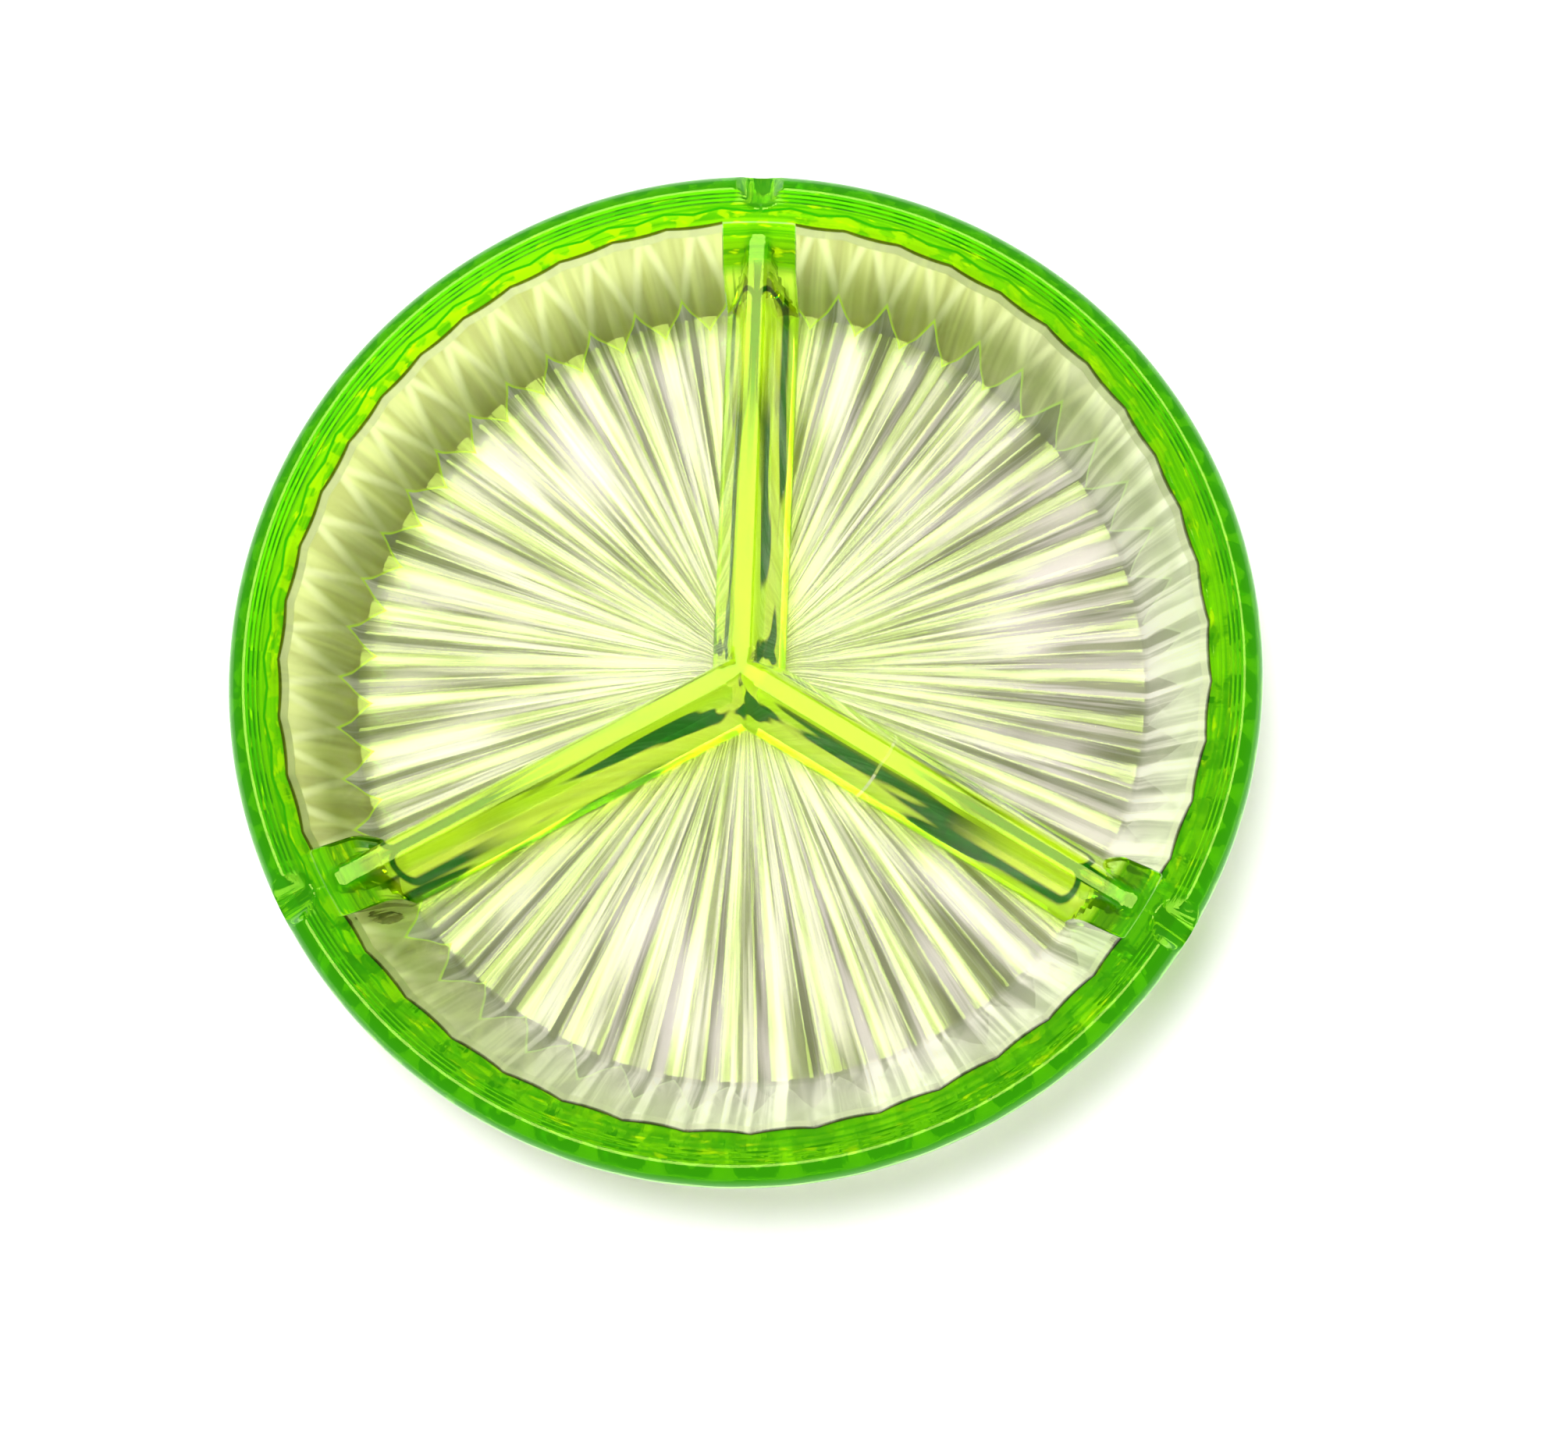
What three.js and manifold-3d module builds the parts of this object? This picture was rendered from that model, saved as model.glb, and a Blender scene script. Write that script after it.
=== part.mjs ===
// A round pressed-glass relish dish with three compartments. The real dish is a
// single pressing; here it is modelled by its features, so that the base, the
// ribbed wall, the beaded rim and the dividers can each be used on their own.
// Millimetres, +Z up, resting on z = 0, with one divider along +Y.
import * as THREE from 'three';
import { mergeVertices } from 'three/addons/utils/BufferGeometryUtils.js';
import Module from 'manifold-3d';

const wasm = await Module();
wasm.setup();

// Overall sizes
const DISH_RADIUS = 82.5;
const DISH_HEIGHT = 26;
const GAP = 0.3;
const ROUND_STEPS = 120;
const WELD_DISTANCE = 1e-5;
const CUTTER_EXTRA = 1;

// Base and foot
const FOOT_INSET = 16.5;
const FOOT_WIDTH = 9;
const FOOT_RECESS = 0.8;
const FOOT_CHAMFER = 1.2;
const FLOOR_Z = 6;

// Cavity and wall
const RIM_WIDTH = 8.2;
const WALL_FLARE = 9;
const EDGE_DROP = 2;
const EDGE_BEVEL = 0.6;
const RIM_SEAT_DROP = 5.5;
const BODY_SEAT_INSET = 1.6;

// Rim, from the widest point inward
const SHOULDER_DROP = 3.6;
const SHOULDER_WIDTH = 3.3;
const SHOULDER_STEPS = 5;
const RIDGE_COUNT = 3;
const RIDGE_PITCH = 0.7;
const RIDGE_DEPTH = 0.22;
const RIDGE_ZONE_DROP = 0.3;

// Scooped notches across the rim, one at each divider
const NOTCH_RADIUS = 4.2;
const NOTCH_DEPTH = 1.9;
const NOTCH_TILT = THREE.MathUtils.degToRad(24);
const NOTCH_LENGTH = 2 * RIM_WIDTH;
const NOTCH_SIDES = 48;

// Ribs: a fan of rounded ribs on each floor, carried up the wall
const RIB_PITCH = THREE.MathUtils.degToRad(7.4);
const FAN_OFFSET_X = -0.5;
const FAN_OFFSET_Y = 3.5;
const RIB_RISE = 0.8;
const VALLEY_LIFT = 0.15;
const WALL_RIB_RISE = 0.6;
const RIB_OVERLAP = 1.25;
const RIB_SIDES = 24;

// Dividers
const DIVIDER_COUNT = 3;
const DIVIDER_WIDTH = 12.2;
const DIVIDER_CREST_WIDTH = 3.8;
const DIVIDER_CREST_DROP = 7;
const CREST_ROUND = 1.2;
const CREST_STEPS = 5;
const HUB_RADIUS = 10;
const CORBEL_RUN = 5.9;
const CORBEL_DROP = 4.5;
const CORBEL_HEIGHT = 4;
const CORBEL_CAP = 1;

// Glass of each region
const FLOOR_COLOR = 0xdcebc8;
const WALL_COLOR = 0xa5c864;
const RIM_COLOR = 0x64dc14;
const DIVIDER_COLOR = 0xb4f03c;
const GLASS_ROUGHNESS = 0.08;
const GLASS_OPACITY = 0.45;

const FOOT_RADIUS = DISH_RADIUS - FOOT_INSET;
const CREST_RADIUS = DISH_RADIUS - SHOULDER_WIDTH;
const CAVITY_EDGE_RADIUS = DISH_RADIUS - RIM_WIDTH;
const CAVITY_FLOOR_RADIUS = CAVITY_EDGE_RADIUS - WALL_FLARE;
const EDGE_Z = DISH_HEIGHT - EDGE_DROP;
const SEAT_Z = DISH_HEIGHT - RIM_SEAT_DROP;
const CREST_Z = DISH_HEIGHT - DIVIDER_CREST_DROP;
const FLARE = WALL_FLARE / (EDGE_Z - FLOOR_Z);
const FAN_STEP = (2 * Math.PI) / DIVIDER_COUNT;
const RIBS_PER_SIDE = Math.ceil(FAN_STEP / 2 / RIB_PITCH - 0.5);
const RIBS_PER_FAN = 2 * RIBS_PER_SIDE + 1;

const cavityRadius = (z) => CAVITY_FLOOR_RADIUS + FLARE * (z - FLOOR_Z);

const BODY_LINE = [
  [FOOT_RADIUS + FOOT_CHAMFER, FOOT_CHAMFER],
  [DISH_RADIUS - BODY_SEAT_INSET, SEAT_Z],
];
const bodyRadius = (z) => {
  const [[r0, z0], [r1, z1]] = BODY_LINE;
  return r0 + ((r1 - r0) * (z - z0)) / (z1 - z0);
};

// A closed three.js geometry becomes a solid for cutting and joining.
function solid(geometry) {
  const plain = geometry.clone();
  plain.deleteAttribute('normal');
  plain.deleteAttribute('uv');
  const merged = mergeVertices(plain, WELD_DISTANCE);
  return new wasm.Manifold(new wasm.Mesh({
    numProp: 3,
    vertProperties: new Float32Array(merged.attributes.position.array),
    triVerts: new Uint32Array(merged.index.array),
  }));
}

// [radius, z] pairs, anticlockwise in section, turned about the dish's axis.
function turned(pairs) {
  const points = pairs.map(([r, z]) => new THREE.Vector2(r, z));
  return solid(new THREE.LatheGeometry(points, ROUND_STEPS).rotateX(Math.PI / 2));
}

const ring = (pairs) => turned([...pairs, pairs[0]]);

const dividerAngle = (index) => Math.PI / 2 + index * FAN_STEP;
const fanAngle = (index) => dividerAngle(index) + FAN_STEP / 2;

// The space of one compartment seen from above, `clear` away from the dividers.
function fanPrism(index, clear, low, high) {
  const reach = 2 * DISH_RADIUS;
  const half = FAN_STEP / 2;
  const tip = clear / Math.sin(half);
  const wedge = new THREE.Shape();
  wedge.moveTo(tip, 0);
  wedge.lineTo(tip + reach * Math.cos(half), -reach * Math.sin(half));
  wedge.lineTo(tip + reach * Math.cos(half), reach * Math.sin(half));
  wedge.closePath();
  const prism = new THREE.ExtrudeGeometry(wedge, { depth: high - low, bevelEnabled: false });
  return solid(prism.translate(0, 0, low).rotateZ(fanAngle(index)));
}

// Where a ray from the fans' shared centre meets a circle about the dish's axis.
function rayHit(angle, radius) {
  const direction = new THREE.Vector2(Math.cos(angle), Math.sin(angle));
  const start = new THREE.Vector2(FAN_OFFSET_X, FAN_OFFSET_Y);
  const along = start.dot(direction);
  const reach = Math.sqrt(along * along + radius * radius - start.lengthSq()) - along;
  return start.addScaledVector(direction, reach);
}

const ribAngles = (index) => Array.from({ length: RIBS_PER_FAN }, (_, rib) =>
  fanAngle(index) + (rib - RIBS_PER_SIDE) * RIB_PITCH);

// How deep a rib's section is, so that it stands `rise` above its valleys.
const valleyShare = Math.sqrt(1 - 1 / RIB_OVERLAP ** 2);
const ribDepth = (rise) => rise / (1 - valleyShare);

// One floor rib: a flattened cone that widens from the middle to the wall.
function floorRib(angle) {
  const reach = CAVITY_EDGE_RADIUS;
  const wide = reach * Math.tan(RIB_PITCH / 2) * RIB_OVERLAP;
  const deep = ribDepth(RIB_RISE);
  const cone = new THREE.ConeGeometry(wide, reach, RIB_SIDES);
  cone.rotateX(Math.PI);
  cone.translate(0, reach / 2, 0);
  cone.scale(1, 1, deep / wide);
  cone.rotateX(-Math.atan2(deep * valleyShare - VALLEY_LIFT, reach));
  cone.rotateZ(angle - Math.PI / 2);
  return solid(cone.translate(FAN_OFFSET_X, FAN_OFFSET_Y, FLOOR_Z));
}

// One wall rib: a flattened round bar that leans outward with the wall.
function wallRib(angle) {
  const ends = [FLOOR_Z, EDGE_Z].map((z) => {
    const cusp = rayHit(angle, cavityRadius(z));
    const outward = cusp.clone().normalize();
    cusp.addScaledVector(outward, ribDepth(WALL_RIB_RISE) * valleyShare);
    return new THREE.Vector3(cusp.x, cusp.y, z);
  });
  const lean = ends[1].clone().sub(ends[0]);
  const long = lean.length();
  const [low, high] = [FLOOR_Z, EDGE_Z].map((z) => {
    const left = rayHit(angle + RIB_PITCH / 2, cavityRadius(z));
    const right = rayHit(angle - RIB_PITCH / 2, cavityRadius(z));
    return (left.distanceTo(right) / 2) * RIB_OVERLAP;
  });
  const up = lean.normalize();
  const across = new THREE.Vector3(-ends[0].y, ends[0].x, 0).normalize();
  const inward = across.clone().cross(up);
  const bar = new THREE.CylinderGeometry(high, low, long, RIB_SIDES);
  bar.translate(0, long / 2, 0);
  bar.scale(1, 1, ribDepth(WALL_RIB_RISE) / high);
  bar.applyMatrix4(new THREE.Matrix4().makeBasis(across, up, inward));
  return solid(bar.translate(ends[0].x, ends[0].y, ends[0].z));
}

const joined = (solids) => solids.reduce((sum, next) => sum.add(next));
const fans = [...Array(DIVIDER_COUNT).keys()];

// Base: a disc with a low foot ring, and a fan of ribs in each compartment.
function baseSolid() {
  const disc = turned([
    [0, FOOT_RECESS],
    [FOOT_RADIUS - FOOT_WIDTH - FOOT_RECESS, FOOT_RECESS],
    [FOOT_RADIUS - FOOT_WIDTH, 0],
    [FOOT_RADIUS, 0],
    BODY_LINE[0],
    [bodyRadius(FLOOR_Z), FLOOR_Z],
    [0, FLOOR_Z],
  ]);
  const low = FLOOR_Z - CUTTER_EXTRA;
  const high = FLOOR_Z + RIB_RISE + CUTTER_EXTRA;
  const reach = CAVITY_FLOOR_RADIUS - WALL_RIB_RISE - GAP;
  const floor = turned([[0, low], [reach, low], [reach, high], [0, high]]);
  const ribs = fans.map((index) => {
    const space = fanPrism(index, DIVIDER_WIDTH / 2 + GAP, low, high);
    return joined(ribAngles(index).map(floorRib)).intersect(space);
  });
  return disc.add(joined(ribs).intersect(floor));
}

// The ribs that line the wall between two dividers, clear of the dividers' ends.
function liningRibs(index, low, high) {
  const space = fanPrism(index, DIVIDER_WIDTH / 2 + GAP, low, high);
  return joined(ribAngles(index).map(wallRib)).intersect(space);
}

// One third of the wall, from divider to divider.
function wallSolid(index) {
  const low = FLOOR_Z + GAP;
  const high = SEAT_Z - GAP;
  const shell = ring([
    [cavityRadius(low), low],
    [bodyRadius(low), low],
    [bodyRadius(high), high],
    [cavityRadius(high), high],
  ]);
  const third = fanPrism(index, GAP / 2, low, high);
  const backed = turned([[0, low], [bodyRadius(low), low], [bodyRadius(high), high], [0, high]]);
  return shell.add(liningRibs(index, low, high).intersect(backed)).intersect(third);
}

// Section of the rim: shoulder, fine ridges, then a smooth slope to the cavity.
function rimSection() {
  const low = DISH_HEIGHT - SHOULDER_DROP;
  const shoulder = Array.from({ length: SHOULDER_STEPS + 1 }, (_, step) => {
    const turn = (step / SHOULDER_STEPS) * (Math.PI / 2);
    return [CREST_RADIUS + SHOULDER_WIDTH * Math.cos(turn), low + SHOULDER_DROP * Math.sin(turn)];
  });
  const ridges = Array.from({ length: RIDGE_COUNT }, (_, ridge) => {
    const top = DISH_HEIGHT - (RIDGE_ZONE_DROP * (ridge + 1)) / RIDGE_COUNT;
    const start = CREST_RADIUS - ridge * RIDGE_PITCH;
    return [[start - RIDGE_PITCH / 2, top - RIDGE_DEPTH], [start - RIDGE_PITCH, top]];
  }).flat();
  return [
    [cavityRadius(SEAT_Z), SEAT_Z],
    [bodyRadius(SEAT_Z), SEAT_Z],
    ...shoulder,
    ...ridges,
    [CAVITY_EDGE_RADIUS + EDGE_BEVEL, EDGE_Z + EDGE_BEVEL],
    [CAVITY_EDGE_RADIUS, EDGE_Z],
  ];
}

// A notch is a round bar laid across the rim, dipping outward.
function notchSolid(index) {
  const bar = new THREE.CylinderGeometry(NOTCH_RADIUS, NOTCH_RADIUS, NOTCH_LENGTH, NOTCH_SIDES);
  bar.rotateZ(-Math.PI / 2);
  bar.rotateY(NOTCH_TILT);
  const lift = NOTCH_RADIUS / Math.cos(NOTCH_TILT) - NOTCH_DEPTH;
  bar.translate(CREST_RADIUS, 0, DISH_HEIGHT + lift);
  return solid(bar.rotateZ(dividerAngle(index)));
}

// Rim: the beaded ring on top of the wall, with the ribs carried up to its edge.
function rimSolid() {
  const ribs = fans.map((index) => liningRibs(index, SEAT_Z, EDGE_Z));
  const backed = turned([
    [0, SEAT_Z],
    [bodyRadius(SEAT_Z), SEAT_Z],
    [bodyRadius(SEAT_Z), EDGE_Z],
    [0, EDGE_Z],
  ]);
  const whole = ring(rimSection()).add(joined(ribs).intersect(backed));
  return whole.subtract(joined(fans.map(notchSolid)));
}

// Section of a divider: sloping sides up to a narrow rounded crest.
function ridgeShape() {
  const foot = DIVIDER_WIDTH / 2;
  const crest = DIVIDER_CREST_WIDTH / 2;
  const shape = new THREE.Shape();
  shape.moveTo(-foot, FLOOR_Z + GAP);
  shape.lineTo(foot, FLOOR_Z + GAP);
  shape.lineTo(crest, CREST_Z - CREST_ROUND);
  shape.quadraticCurveTo(crest, CREST_Z, 0, CREST_Z);
  shape.quadraticCurveTo(-crest, CREST_Z, -crest, CREST_Z - CREST_ROUND);
  shape.closePath();
  return shape;
}

// A length of ridge along +Y.
function ridgeGeometry(start, end) {
  const ridge = new THREE.ExtrudeGeometry(ridgeShape(), {
    depth: end - start,
    bevelEnabled: false,
    curveSegments: CREST_STEPS,
  });
  return ridge.translate(0, 0, -end).rotateX(Math.PI / 2);
}

// Divider: a ridge from the hub to the wall, with a corbel that climbs to the rim.
function dividerSolid() {
  const top = EDGE_Z - CORBEL_CAP;
  const low = CREST_Z - CORBEL_HEIGHT;
  const face = CAVITY_EDGE_RADIUS - CORBEL_RUN;
  const box = new THREE.BoxGeometry(DIVIDER_WIDTH - 2 * GAP, DISH_RADIUS - face, top - low);
  const block = solid(box.translate(0, (face + DISH_RADIUS) / 2, (low + top) / 2));
  const slope = CORBEL_RUN / CORBEL_DROP;
  const ramp = turned([
    [0, CREST_Z],
    [CAVITY_EDGE_RADIUS - slope * (EDGE_Z - CREST_Z), CREST_Z],
    [CAVITY_EDGE_RADIUS + slope * CUTTER_EXTRA, EDGE_Z + CUTTER_EXTRA],
    [0, EDGE_Z + CUTTER_EXTRA],
  ]);
  const space = turned([
    [0, FLOOR_Z],
    [cavityRadius(FLOOR_Z) - GAP, FLOOR_Z],
    [cavityRadius(EDGE_Z) - GAP, EDGE_Z],
    [0, EDGE_Z],
  ]);
  const ridge = solid(ridgeGeometry(HUB_RADIUS / 2, DISH_RADIUS));
  const clearOfHub = turned([
    [0, 0],
    [HUB_RADIUS + GAP, 0],
    [HUB_RADIUS + GAP, DISH_HEIGHT],
    [0, DISH_HEIGHT],
  ]);
  return ridge.subtract(clearOfHub).add(block.subtract(ramp)).intersect(space);
}

// Hub: where the three ridges run together.
function hubSolid() {
  const core = turned([
    [0, FLOOR_Z],
    [HUB_RADIUS, FLOOR_Z],
    [HUB_RADIUS, DISH_HEIGHT],
    [0, DISH_HEIGHT],
  ]);
  const ridges = fans.map((index) => ridgeGeometry(0, 2 * HUB_RADIUS).rotateZ(index * FAN_STEP));
  return joined(ridges.map(solid)).intersect(core);
}

function glass(color) {
  return new THREE.MeshStandardMaterial({
    color,
    roughness: GLASS_ROUGHNESS,
    metalness: 0,
    transparent: true,
    opacity: GLASS_OPACITY,
  });
}

function mesh(name, body, color) {
  const { vertProperties, triVerts } = body.getMesh();
  const geometry = new THREE.BufferGeometry();
  geometry.setAttribute('position', new THREE.BufferAttribute(vertProperties, 3));
  geometry.setIndex(new THREE.BufferAttribute(triVerts, 1));
  geometry.computeVertexNormals();
  const part = new THREE.Mesh(geometry, glass(color));
  part.name = name;
  return part;
}

const group = new THREE.Group();
group.name = 'uranium_glass_dish';
group.add(mesh('base', baseSolid(), FLOOR_COLOR));
group.add(mesh('hub', hubSolid(), DIVIDER_COLOR));
group.add(mesh('rim', rimSolid(), RIM_COLOR));
['left', 'front', 'right'].forEach((side, index) => {
  group.add(mesh(`wall_${side}`, wallSolid(index), WALL_COLOR));
});
['back', 'front_left', 'front_right'].forEach((side, index) => {
  const divider = mesh(`divider_${side}`, dividerSolid(), DIVIDER_COLOR);
  divider.rotation.z = index * FAN_STEP;
  group.add(divider);
});

export default group;
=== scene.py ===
# %% [markdown]
# # A pressed-glass dish with three compartments
# The dish is one piece of uranium glass, pressed in a mould in one stroke. The
# CAD frame holds it as nine named regions, so that a library user can take a
# rim or a divider on its own. Here the nine regions become the real object:
# one seamless piece of glass, with its ribs, ridges and notches in the mesh.

import math

import bmesh
import bpy
from mathutils import Matrix, Quaternion, Vector


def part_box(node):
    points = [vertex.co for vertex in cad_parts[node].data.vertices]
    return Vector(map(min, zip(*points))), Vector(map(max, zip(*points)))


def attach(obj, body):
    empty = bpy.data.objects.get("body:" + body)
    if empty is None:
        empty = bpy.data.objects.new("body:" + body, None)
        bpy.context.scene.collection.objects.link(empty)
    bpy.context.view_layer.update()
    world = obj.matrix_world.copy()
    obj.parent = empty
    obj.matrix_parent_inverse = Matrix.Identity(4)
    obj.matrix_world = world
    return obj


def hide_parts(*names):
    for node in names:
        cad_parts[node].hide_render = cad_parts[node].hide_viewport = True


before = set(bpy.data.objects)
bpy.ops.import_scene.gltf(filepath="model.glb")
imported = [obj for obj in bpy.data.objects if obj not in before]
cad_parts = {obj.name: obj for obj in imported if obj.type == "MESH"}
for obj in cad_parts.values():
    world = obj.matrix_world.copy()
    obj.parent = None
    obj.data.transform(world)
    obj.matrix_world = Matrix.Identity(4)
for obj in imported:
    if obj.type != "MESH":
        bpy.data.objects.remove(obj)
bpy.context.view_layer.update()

# %% [markdown]
# ## Sizes
# A designer reads sizes off the drawing before touching clay. The overall
# sizes come from the CAD boxes, so a change in the CAD carries over, and the
# finer ones are written once here, in metres.

# %% Sizes from the frame
MM = 0.001
rim_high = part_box("rim")[1]
wall_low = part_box("wall_front")[0]
divider_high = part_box("divider_back")[1]

dish_radius = rim_high.x
dish_height = rim_high.z
gap = 0.3 * MM
floor_z = wall_low.z - gap
crest_z = divider_high.z
half_divider = divider_high.x
print("radius", dish_radius, "height", dish_height, "floor", round(floor_z, 4))

# %% Sizes of the finer features
rim_width = 8.2 * MM
edge_drop = 2 * MM
bevel_width = 1.2 * MM
bevel_drop = 1.1 * MM
wall_flare = 9 * MM

edge_radius = dish_radius - rim_width
edge_z = dish_height - edge_drop
wall_top_radius = edge_radius - bevel_width
wall_top_z = edge_z - bevel_drop
wall_foot_radius = edge_radius - wall_flare
foot_radius = 66 * MM
foot_inner_radius = 57 * MM
foot_recess = 0.8 * MM
foot_slope = 22 * MM
crest_half = 1.9 * MM
rib_pitch = math.radians(7.4)
fan_centre = Vector((-0.5 * MM, 3.5 * MM))
floor_rib_rise = 0.8 * MM
wall_rib_rise = 0.6 * MM
third = math.tau / 3
print("rim edge", round(edge_radius, 4), "wall foot", round(wall_foot_radius, 4))

# %% [markdown]
# ## Reading a profile as a curve
# A pressed dish is drawn as a section: where the mould turns a corner, it turns
# on a small radius, because hot glass does not fill a sharp one. The helper
# replaces a corner of a section with an arc that is tangent to both sides.

# %% Round a corner of a section
def rounded(before, corner, after, radius, steps):
    a, c, b = (Vector(point) for point in (before, corner, after))
    to_a, to_b = (a - c).normalized(), (b - c).normalized()
    half = to_a.angle(to_b) / 2
    centre = c + (to_a + to_b).normalized() * radius / math.sin(half)
    start = c + to_a * radius / math.tan(half) - centre
    turn = math.pi - 2 * half
    sign = 1 if start.x * to_b.y - start.y * to_b.x > 0 else -1
    arc = []
    for step in range(steps + 1):
        angle = sign * turn * step / steps
        arc.append(centre + Vector((start.x * math.cos(angle) - start.y * math.sin(angle),
                                    start.x * math.sin(angle) + start.y * math.cos(angle))))
    return arc


def stretch(a, b, steps):
    a, b = Vector(a), Vector(b)
    return [a.lerp(b, step / steps) for step in range(1, steps)]


# %% [markdown]
# ## The two sections
# The inside section runs from the middle of a floor, round the foot of the wall
# and up to the sharp inner edge of the rim. The outside section carries on from
# that edge: a smooth slope, three fine ridges, the crest, the round shoulder,
# the outer wall, the foot ring and the slightly hollow underside.

# %% Inside section
floor_rows = 14
wall_rows = 9
bevel_rows = 3
wall_foot_fillet = 1.6 * MM
wall_top_fillet = 0.4 * MM

floor_corner = (wall_foot_radius, floor_z)
wall_top = (wall_top_radius, wall_top_z)
edge = (edge_radius, edge_z)
wall_foot_arc = rounded((0, floor_z), floor_corner, wall_top, wall_foot_fillet, 5)
floor_end = wall_foot_arc[0]
inside = [Vector((floor_end.x * row / floor_rows, floor_z)) for row in range(floor_rows)]
inside += wall_foot_arc
inside += stretch(wall_foot_arc[-1], wall_top, wall_rows)
inside += rounded(wall_foot_arc[-1], wall_top, edge, wall_top_fillet, 2)
inside += stretch(wall_top, edge, bevel_rows)[1:]
inside += [Vector(edge)]
print("inside section:", len(inside), "points")

# %% Ridges on top of the rim
crest_inset = 3.3 * MM
ridge_pitch = 0.7 * MM
ridge_depth = 0.22 * MM
ridge_drop = 0.3 * MM
ridges = 3
ridge_steps = 6

crest_radius = dish_radius - crest_inset
slope_top = Vector((crest_radius - ridges * ridge_pitch, dish_height - ridge_drop))
ridge_line = []
for step in range(ridges * ridge_steps + 1):
    share = step / (ridges * ridge_steps)
    wave = (1 - math.cos(math.tau * share * ridges)) / 2
    ridge_line.append(Vector((slope_top.x + share * ridges * ridge_pitch,
                              slope_top.y + share * ridge_drop - wave * ridge_depth)))
print("ridges:", ridges, "in", len(ridge_line), "points")

# %% Round shoulder
shoulder_drop = 3.6 * MM
shoulder_steps = 8

shoulder_z = dish_height - shoulder_drop
shoulder = []
for step in range(1, shoulder_steps + 1):
    turn = math.pi / 2 * (1 - step / shoulder_steps)
    shoulder.append(Vector((crest_radius + (dish_radius - crest_radius) * math.cos(turn),
                            shoulder_z + (dish_height - shoulder_z) * math.sin(turn))))
print("shoulder:", len(shoulder), "points")

# %% Outside section
body_inset = 1.4 * MM
body_drop = 5.5 * MM
body_rows = 7
body_fillet = 2 * MM
foot_chamfer = 1.2 * MM
foot_fillet = 1 * MM
slope_rows = 5
underside_rows = 6

body_top = (dish_radius - body_inset, dish_height - body_drop)
foot_edge = (foot_radius + foot_chamfer, foot_chamfer)
outside = [Vector(edge)]
outside += stretch(edge, slope_top, slope_rows)
outside += ridge_line
outside += shoulder
outside += rounded(shoulder[-1], body_top, foot_edge, body_fillet, 3)
outside += stretch(body_top, foot_edge, body_rows)
outside += rounded(body_top, foot_edge, (foot_radius, 0), foot_fillet, 2)
outside += [Vector((foot_radius, 0)), Vector((foot_inner_radius, 0)),
            Vector((foot_inner_radius - foot_slope, foot_recess))]
outside += stretch(outside[-1], (0, foot_recess), underside_rows)
outside += [Vector((0, foot_recess))]
print("outside section:", len(outside), "points")

# %% [markdown]
# ## Turning one third of the dish
# A lathe shape is a section spun about its axis. The dish repeats three times,
# so one third is spun and then turned twice. Each third has a wide stretch for
# the compartment and a narrow one for the end of its divider, and each stretch
# is spun with its own number of steps, so that both end exactly on the corner.

# %% Spin helpers
def section_wire(bm, points, angle):
    turn = Matrix.Rotation(angle, 3, "Z")
    verts = [bm.verts.new(turn @ Vector((p.x, 0, p.y))) for p in points]
    return verts + [bm.edges.new(pair) for pair in zip(verts, verts[1:])]


def spin_section(bm, points, start, sweep, steps):
    bmesh.ops.spin(bm, geom=section_wire(bm, points, start), cent=(0, 0, 0), axis=(0, 0, 1),
                   dvec=(0, 0, 0), angle=sweep, steps=steps, use_merge=False)


# %% Sweeps of the two stretches
half_pier = math.asin(half_divider / edge_radius)
pocket_sweep = third - 2 * half_pier
pocket_steps = 220
pier_steps = 24
back = math.pi / 2
pocket_start = back + half_pier
pocket_middle = back + third / 2
print("pocket sweep", round(math.degrees(pocket_sweep), 1), "degrees")

# %% Outer skin of one third
part = bmesh.new()
spin_section(part, outside, pocket_start, pocket_sweep, pocket_steps)
spin_section(part, outside, back - half_pier, 2 * half_pier, pier_steps)
print("outer skin:", len(part.verts), "vertices")

# %% [markdown]
# ## Fitting the pocket between two dividers
# The spun pocket is a plain slice of a bowl. On the dish its two sides run
# parallel to the dividers and not through the middle, so each spoke is moved:
# it starts on the foot of a divider, and fans out to the same wall as before.

# %% Where a point of the pocket goes
hair = 0.01 * MM


def fitted(point):
    radius = math.hypot(point.x, point.y)
    turn = math.atan2(point.y, point.x)
    off_middle = (turn - pocket_middle + math.pi) % math.tau - math.pi
    if point.z < floor_z + hair and radius < floor_end.x + hair:
        share = radius / floor_end.x
        corner_turn = third / 2 - math.asin(half_divider / floor_end.x)
        off_middle *= corner_turn / (pocket_sweep / 2)
        start = half_divider / math.sin(third / 2 - abs(off_middle))
        radius = start + (floor_end.x - start) * share
    else:
        corner_turn = third / 2 - math.asin(half_divider / radius)
        off_middle *= corner_turn / (pocket_sweep / 2)
    turn = pocket_middle + off_middle
    return Vector((radius * math.cos(turn), radius * math.sin(turn), point.z))


# %% Spin the pocket and move its spokes
# All spokes start on the axis, where a turn cannot be read back from a place,
# so the section starts on a tiny circle instead.
weld = 0.005 * MM
inside[0] = Vector((floor_end.x / floor_rows / 1000, floor_z))

pocket = bmesh.new()
spin_section(pocket, inside, pocket_start, pocket_sweep, pocket_steps)
for vert in pocket.verts:
    vert.co = fitted(vert.co)
bmesh.ops.remove_doubles(pocket, verts=pocket.verts, dist=weld)
pocket_mesh = bpy.data.meshes.new("pocket")
pocket.to_mesh(pocket_mesh)
pocket.free()
part.from_mesh(pocket_mesh)
bpy.data.meshes.remove(pocket_mesh)
print("one third so far:", len(part.verts), "vertices")

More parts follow.
